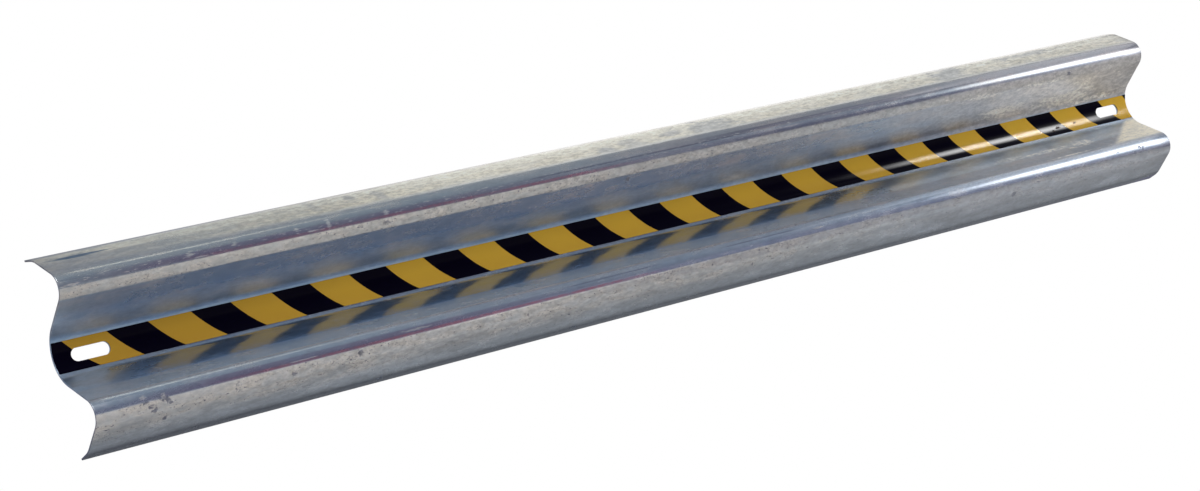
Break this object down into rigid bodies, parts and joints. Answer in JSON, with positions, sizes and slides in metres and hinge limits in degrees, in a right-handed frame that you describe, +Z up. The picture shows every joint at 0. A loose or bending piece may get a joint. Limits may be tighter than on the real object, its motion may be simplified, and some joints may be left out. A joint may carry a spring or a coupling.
{
  "type": "industrial guard rail",
  "caption": "Galvanised steel W-beam guard rail length, open at both ends, with a bolt slot near each end and black and yellow hazard tape along its valley.",
  "frame": {"origin": "middle of the beam's length, height and depth", "axes": "+X along the rail, +Y from the traffic face towards the post, +Z up"},
  "size_m": [2.5, 0.082, 0.3098],
  "materials": {
    "galvanised_steel": "hot-dip zinc, streaky along the rail, half gloss, with stains and scuffs",
    "hazard_film": "glossy yellow film with black stripes that lean at 45 degrees"
  },
  "bodies": {
    "root": {"rail_beam": "galvanised_steel", "hazard_tape": "hazard_film"}
  },
  "joints": []
}
